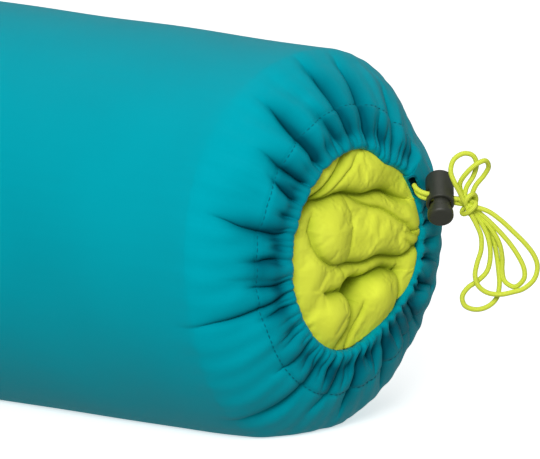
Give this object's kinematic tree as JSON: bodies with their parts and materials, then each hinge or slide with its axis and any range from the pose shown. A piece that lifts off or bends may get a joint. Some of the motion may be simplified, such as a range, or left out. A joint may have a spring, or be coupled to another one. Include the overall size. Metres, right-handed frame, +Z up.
{
  "type": "camp pillow",
  "caption": "Camp pillow packed in a round drawcord stuff sack lying on its side, with a gathered mouth, a spring cord lock on the knotted tails and a grab loop on the base.",
  "frame": {"origin": "on the floor under the middle of the sack, halfway between the front of the mouth and the back of the grab loop", "axes": "+X along the sack towards its mouth, +Z up, +Y towards the side where the cord lock is"},
  "size_m": [0.336, 0.155, 0.1518],
  "materials": {
    "teal_cloth": "satin",
    "teal_tape": "matte",
    "teal_thread": "matte",
    "black_webbing": "matte",
    "lime_cord": "matte",
    "lime_cloth": "matte",
    "white_foam": "matte",
    "black_plastic": "matte",
    "spring_steel": "satin"
  },
  "bodies": {
    "sack": {"sack_side_panel": "teal_cloth", "sack_base_panel": "teal_cloth", "base_seam_binding": "teal_tape", "side_seam_binding": "teal_tape", "drawcord_casing": "teal_cloth", "casing_stitch_row": "teal_thread", "cord_exit_patch": "teal_tape", "grab_loop": "black_webbing", "grab_loop_bartack_left": "black_webbing", "grab_loop_bartack_right": "black_webbing", "drawcord_in_casing": "lime_cord", "cord_tail_upper": "lime_cord", "cord_tail_lower": "lime_cord", "tail_knot": "lime_cord", "tail_long_loops": "lime_cord", "tail_short_loops": "lime_cord", "pillow_top_panel": "lime_cloth", "pillow_bottom_panel": "lime_cloth", "pillow_edge_seam": "lime_cloth", "pillow_foam_fill": "white_foam"},
    "lock": {"cord_lock_barrel": "black_plastic", "cord_lock_spring": "spring_steel"},
    "button": {"cord_lock_button": "black_plastic"}
  },
  "joints": [
    {"name": "lock_slide", "type": "slide", "parent": "sack", "child": "lock", "axis": [0.658, 0.7266, -0.1978], "range_m": [0, 0.0015]},
    {"name": "button_press", "type": "slide", "parent": "lock", "child": "button", "axis": [-0.5132, 0.6249, 0.5883], "range_m": [0, 0.0035], "stiffness_N_per_m": 500, "springref_m": -0.004, "deforming": ["cord_lock_spring"]}
  ]
}
